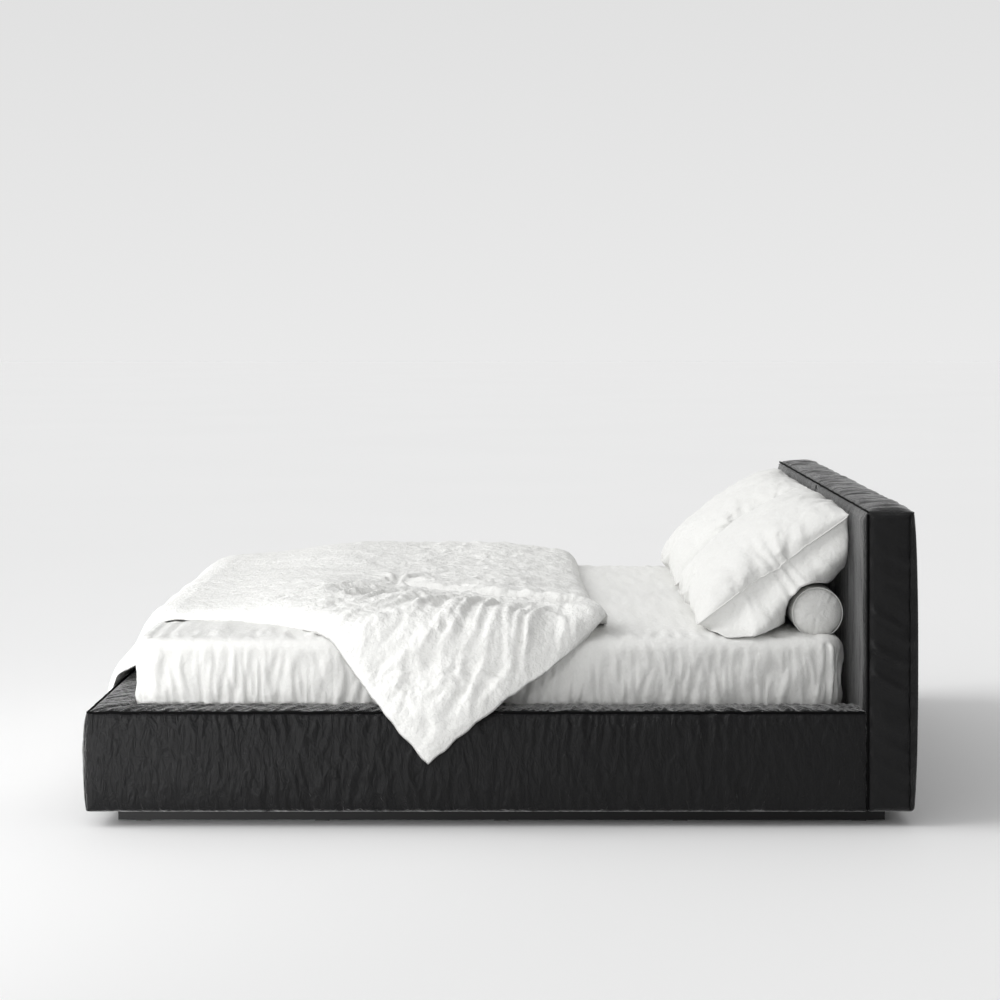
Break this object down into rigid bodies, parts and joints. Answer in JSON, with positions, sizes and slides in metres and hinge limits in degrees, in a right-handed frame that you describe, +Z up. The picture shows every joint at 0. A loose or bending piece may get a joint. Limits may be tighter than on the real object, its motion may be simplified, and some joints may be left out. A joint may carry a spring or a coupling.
{
  "type": "bed",
  "caption": "Low upholstered platform bed with gathered slip-covered rails and headboard, slatted base, mattress, duvet, bolster and pillows.",
  "frame": {"origin": "on the floor under the middle centre leg, which stands halfway between the side rails", "axes": "+X runs along the bed from foot to head, +Y runs from the side with the hanging duvet corner to the other side, +Z is up"},
  "size_m": [2.348, 2.1087, 0.873],
  "materials": {
    "felt": "matte",
    "plinth": "matte",
    "pine": "matte",
    "plywood": "matte",
    "foam": "matte",
    "slipcover": "matte",
    "welt": "matte",
    "steel": "satin",
    "dark_steel": "satin",
    "foot_plastic": "matte",
    "webbing": "matte",
    "ticking": "matte",
    "linen": "matte",
    "down": "matte"
  },
  "bodies": {
    "bed_frame": {"floor_glides": "felt", "plinth_near": "plinth", "plinth_far": "plinth", "plinth_foot": "plinth", "plinth_head": "plinth", "plinth_blocks": "pine", "rail_board_near": "plywood", "rail_board_far": "plywood", "rail_board_foot": "plywood", "rail_foam_near": "foam", "rail_foam_far": "foam", "rail_foam_foot": "foam", "rail_cover_near": "slipcover", "rail_cover_far": "slipcover", "rail_cover_foot": "slipcover", "rail_welts": "welt", "headboard_uprights": "pine", "headboard_crossbars": "pine", "headboard_front_panel": "plywood", "headboard_back_panel": "plywood", "headboard_front_foam": "foam", "headboard_back_foam": "foam", "headboard_edge_foam": "foam", "headboard_cover": "slipcover", "headboard_welts": "welt", "slat_ledge_near": "pine", "slat_ledge_far": "pine", "centre_beam": "pine", "beam_hangers": "steel", "centre_legs": "dark_steel", "leg_feet": "foot_plastic", "corner_brackets": "steel", "ledge_bolts": "steel", "corner_bolts": "steel", "headboard_bolts": "steel", "slats_near": "pine", "slats_far": "pine", "slat_webbing": "webbing"},
    "mattress": {"mattress_core": "foam", "comfort_layer": "foam", "mattress_ticking": "ticking", "fitted_sheet": "linen"},
    "duvet": {"duvet_filling": "down", "duvet_cover": "linen"},
    "bolster": {"bolster_core": "down", "bolster_cover": "linen"},
    "pillow_near": {"pillow_filling_near": "down", "pillowcase_near": "linen"},
    "pillow_far": {"pillow_filling_far": "down", "pillowcase_far": "linen"}
  },
  "joints": [
    {"name": "mattress_lift", "type": "slide", "parent": "bed_frame", "child": "mattress", "axis": [0, 0, 1], "range_m": [0, 0.3]},
    {"name": "duvet_lift", "type": "slide", "parent": "mattress", "child": "duvet", "axis": [0, 0, 1], "range_m": [0, 0.4]},
    {"name": "bolster_lift", "type": "slide", "parent": "mattress", "child": "bolster", "axis": [0, 0, 1], "range_m": [0, 0.3]},
    {"name": "pillow_near_lift", "type": "slide", "parent": "bolster", "child": "pillow_near", "axis": [0, 0, 1], "range_m": [0, 0.3]},
    {"name": "pillow_far_lift", "type": "slide", "parent": "bolster", "child": "pillow_far", "axis": [0, 0, 1], "range_m": [0, 0.3]}
  ]
}
